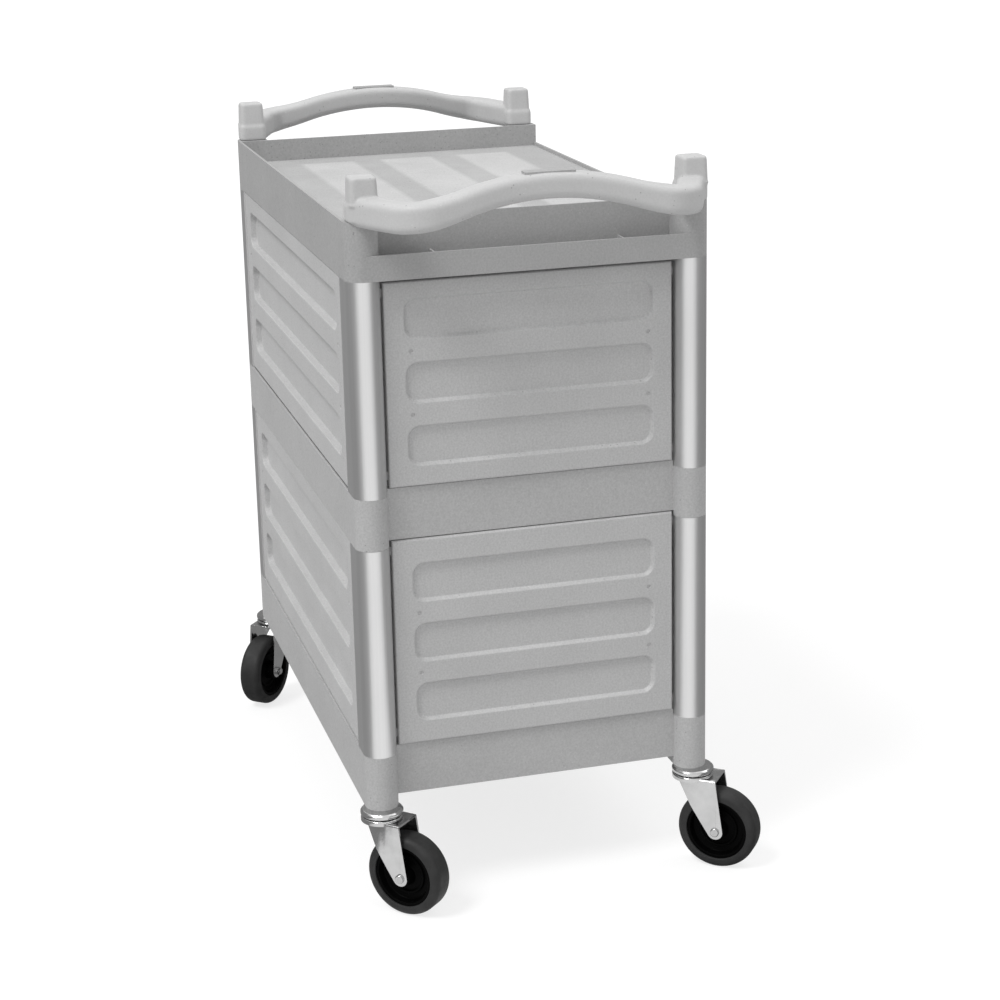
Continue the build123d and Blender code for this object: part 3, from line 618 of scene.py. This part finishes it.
def bar_path(end):
    """Centre line of a handle's bar, evenly sampled from block to block."""
    block_y = half_width - block_side_inset
    knee_y = half_width - bar_knee_inset
    corners = [
        (half_length - block_end_inset, -block_y),
        (half_length + bar_knee_reach, -knee_y),
        (half_length + bar_reach, 0.0),
        (half_length + bar_knee_reach, knee_y),
        (half_length - block_end_inset, block_y),
    ]
    radii = [0.0, bar_knee_radius, bar_bow_radius, bar_knee_radius, 0.0]
    plan = rounded_corners(corners, radii, steps=16, closed=False)
    path = []
    for start, stop in zip(plan, plan[1:]):
        pieces = max(1, round((stop - start).length / bar_step))
        for piece in range(pieces):
            path.append(start.lerp(stop, piece / pieces))
    path.append(plan[-1])
    low = rim_z + bar_height / 2 - bar_dip
    return [Vector((end * point.x, point.y, low + arch_height(point.y))) for point in path]


def bar_rings(end):
    """Rounded rectangles along the bar, upright across its path and fuller towards its ends."""
    path = bar_path(end)
    knee_y = half_width - bar_knee_inset
    rings = []
    for index, point in enumerate(path):
        ahead = path[min(index + 1, len(path) - 1)] - path[max(index - 1, 0)]
        side = ahead.cross(Vector((0, 0, 1))).normalized()
        up = side.cross(ahead).normalized()
        share = min(1.0, max(0.0, (abs(point.y) - bar_flare_start) / (knee_y - bar_flare_start)))
        flare = share * share * (3 - 2 * share)
        corners = rectangle(bar_width / 2 + flare * bar_flare_width,
                            bar_height / 2 + flare * bar_flare_height)
        section = rounded_corners(corners, [bar_edge_radius] * 4)
        rings.append([point + side * flat.x + up * flat.y for flat in section])
    return rings


def tower_levels():
    """Sizes of a base block and its stub, each with its height over the block's foot."""
    top = block_height + stub_height
    angles = [pi / 2 * step / tower_edge_steps for step in range(1, tower_edge_steps + 1)]
    levels = [(block_size - 2 * block_edge_radius, 0.0)]
    for angle in angles:
        levels.append((block_size - 2 * block_edge_radius * (1 - sin(angle)),
                       block_edge_radius * (1 - cos(angle))))
    levels.append((block_size, block_height - block_shoulder_height))
    levels.append((block_size - block_shoulder_width, block_height))
    levels.append((stub_size, block_height + stub_foot_height))
    levels.append((stub_top_size + stub_top_ease, top - stub_edge_radius))
    for angle in angles:
        levels.append((stub_top_size - 2 * stub_edge_radius * (1 - cos(angle)),
                       top - stub_edge_radius * (1 - sin(angle))))
    return levels


def tower_rings(centre, low):
    """Base block and stub: rounded squares from the rim up, with soft edges."""
    nose_x = 1 if centre[0] > 0 else -1
    nose_y = 1 if centre[1] > 0 else -1
    rings = []
    for size, height in tower_levels():
        if height < block_height:
            outline = block_outline(size, nose_x, nose_y)
        else:
            outline = stub_outline(size)
        z = low + height
        rings.append([Vector((centre[0] + flat.x, centre[1] + flat.y, z)) for flat in outline])
    return rings


def object_from(bm, name, material):
    """A new object in the scene, made from a mesh under construction, with its material."""
    mesh = bpy.data.meshes.new(name)
    bm.to_mesh(mesh)
    bm.free()
    mesh.materials.append(material)
    item = bpy.data.objects.new(name, mesh)
    bpy.context.scene.collection.objects.link(item)
    return item


def make_handle(end_name, end, material):
    """One smooth moulding: the bar flows out of its base blocks, which carry the stub caps."""
    bm = bmesh.new()
    loft(bm, bar_rings(end))
    for side in (-1, 1):
        centre = (end * (half_length - block_end_inset), side * (half_width - block_side_inset))
        loft(bm, tower_rings(centre, rim_z + block_seat_gap))
    bmesh.ops.recalc_face_normals(bm, faces=bm.faces)
    handle = object_from(bm, f"{end_name}_handle_skin", material)
    remesh = handle.modifiers.new("one_skin", "REMESH")
    remesh.mode = "VOXEL"
    remesh.voxel_size = handle_voxel
    remesh.use_smooth_shade = True
    smooth = handle.modifiers.new("flowing_joins", "SMOOTH")
    smooth.factor = handle_smoothing
    smooth.iterations = handle_smoothing_rounds
    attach(handle, "root")
    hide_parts(f"{end_name}_handle")


def lathe(name, profile, centre, axis, material):
    """Closed ring turned about an axis; the profile gives (radius, place along the axis)."""
    across = axis.orthogonal().normalized()
    other = axis.cross(across)
    points = []
    for step in range(lathe_steps):
        angle = 2 * pi * step / lathe_steps
        out = across * cos(angle) + other * sin(angle)
        points += [centre + out * flat[0] + axis * flat[1] for flat in profile]
    count = len(profile)
    faces = []
    for step in range(lathe_steps):
        here = step * count
        ahead = (step + 1) % lathe_steps * count
        for k in range(count):
            after = (k + 1) % count
            faces.append((here + k, ahead + k, ahead + after, here + after))
    ring = link_mesh(name, points, faces)
    bm = bmesh.new()
    bm.from_mesh(ring.data)
    bmesh.ops.recalc_face_normals(bm, faces=bm.faces)
    bm.to_mesh(ring.data)
    bm.free()
    ring.data.shade_smooth()
    ring.data.materials.append(material)
    return ring


def join_rings(name, rings, material):
    """One object made of several rings."""
    bm = bmesh.new()
    for ring in rings:
        bm.from_mesh(ring.data)
        bpy.data.objects.remove(ring)
    whole = object_from(bm, name, material)
    whole.data.shade_smooth()
    return whole


def race_profile():
    """Section of a race: its neck, and a flange with rounded edges."""
    corners = [
        (race_bore, 0.0),
        (race_neck_radius, 0.0),
        (race_radius, -race_lip),
        (race_radius, -race_height),
        (race_bore, -race_height),
    ]
    radii = [race_bore_edge, race_neck_edge, race_rim_edge, race_rim_edge, race_bore_edge]
    return rounded_corners(corners, radii, steps=8)


def make_races(joints, material):
    """Rolled upper races under the four corners, on the swivels that the frame gives."""
    upright = Vector((0, 0, 1))
    rings = []
    for joint in joints:
        centre = Vector(joint["pos_m"])
        rings.append(lathe(f"race_{joint['name']}", race_profile(), centre, upright, material))
    races = join_rings("race_rings", rings, material)
    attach(races, "root")
    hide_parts("swivel_races")


def tyre_profile():
    """Section of a tyre: round shoulders at the tread and small lips at the hub."""
    corners = [
        (hub_radius, -tyre_half_width),
        (wheel_radius, -tyre_half_width),
        (wheel_radius, tyre_half_width),
        (hub_radius, tyre_half_width),
    ]
    radii = [tyre_lip_radius, tyre_shoulder_radius, tyre_shoulder_radius, tyre_lip_radius]
    return rounded_corners(corners, radii, steps=12)


def hub_profile():
    """Half section of the dished hub, mirrored: boss, web with a raised ring, and rim."""
    ring_foot = hub_ring_width / 2
    ring_top = hub_ring_width / 3
    half = [
        (hub_bore, hub_boss_half, hub_bore_edge),
        (hub_boss_radius, hub_boss_half, hub_boss_edge),
        (hub_boss_radius + hub_fillet, hub_web_half + hub_fillet, hub_fillet),
        (hub_ring_radius - ring_foot, hub_web_half, hub_ring_edge),
        (hub_ring_radius - ring_top, hub_web_half + hub_ring_height, hub_ring_edge),
        (hub_ring_radius + ring_top, hub_web_half + hub_ring_height, hub_ring_edge),
        (hub_ring_radius + ring_foot, hub_web_half, hub_ring_edge),
        (hub_rim_inner - hub_fillet, hub_web_half + hub_web_rise, hub_fillet),
        (hub_rim_inner, hub_rim_half, hub_rim_edge),
        (hub_radius, hub_rim_half, hub_outer_edge),
    ]
    corners = [(radius, along) for radius, along, rounding in half]
    radii = [rounding for radius, along, rounding in half]
    mirrored = [(radius, -along) for radius, along in reversed(corners)]
    return rounded_corners(corners + mirrored, radii + list(reversed(radii)), steps=4)


def make_wheel(joint, tyre_material, hub_material):
    """Tyre and hub of one caster, on the axle that the frame gives."""
    corner = joint["name"].removeprefix("roll_")
    centre = Vector(joint["pos_m"])
    axis = Vector(joint["axis"]).normalized()
    tyre = lathe(f"tyre_skin_{corner}", tyre_profile(), centre, axis, tyre_material)
    hub = lathe(f"hub_skin_{corner}", hub_profile(), centre, axis, hub_material)
    for piece, node, slot in ((tyre, f"tyre_{corner}", "tyre"), (hub, f"wheel_hub_{corner}", "hub")):
        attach(piece, f"wheel_{corner}")
        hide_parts(node)


make_camera()
make_floor()
make_world()
add_sun("key", azimuth=-66, elevation=55, strength=1.6, softness=20)
add_sun("fill", azimuth=100, elevation=60, strength=0.5, softness=40)
add_flag("right_flag", from_azimuth=-205, to_azimuth=-46)
add_flag("left_flag", from_azimuth=24, to_azimuth=155)

# One material for each material slot of the record
materials = {
    "shelf_moulding": moulding("shelf_moulding", level=0.485),
    "panel_moulding": moulding("panel_moulding", level=0.535),
    "handle_moulding": moulding("handle_moulding", level=0.585, roughness=0.5, height=0.00012,
                                contrast=0.035),
    "plate": moulding("blank_plate", level=0.4, roughness=0.4),
    "post_metal": satin_metal("satin_posts", level=0.7),
    "caster_steel": plated("plated_pressings", level=0.56, roughness=0.17, waviness=0.0028),
    "fasteners": plated("plated_fasteners", level=0.5, roughness=0.26),
    "bearing_balls": plated("polished_balls", level=0.85, roughness=0.06),
    "bush": plated("turned_bush", level=0.6, roughness=0.3),
    "hub": dark_plastic("hub_black", level=0.0015, roughness=0.45, shine=0.03),
    "tyre": rubber("tyre_rubber", level=0.026, shine=0.3),
}
for entry in record["subparts"]:
    item = nodes[entry["node"]]
    item.data.materials.clear()
    item.data.materials.append(materials[entry["material_slot"]])
nodes["top_shelf"].data.materials.clear()
nodes["top_shelf"].data.materials.append(tray_moulding("tray_moulding", level=0.405))

for name in nodes:
    if name.endswith("shelf"):
        soften(name, shelf_edge)
    elif name.endswith("panel"):
        soften(name, panel_edge)
    elif name.startswith("fork"):
        soften(name, fork_edge)

make_handle("front", 1, materials["handle_moulding"])
make_handle("rear", -1, materials["handle_moulding"])
joints = record["behaviour"]["joints"]
swivels = [joint for joint in joints if joint["name"].startswith("swivel_")]
make_races(swivels, materials["caster_steel"])
for joint in joints:
    if joint["name"].startswith("roll_"):
        make_wheel(joint, materials["tyre"], materials["hub"])

bpy.context.scene.view_settings.view_transform = "Standard"
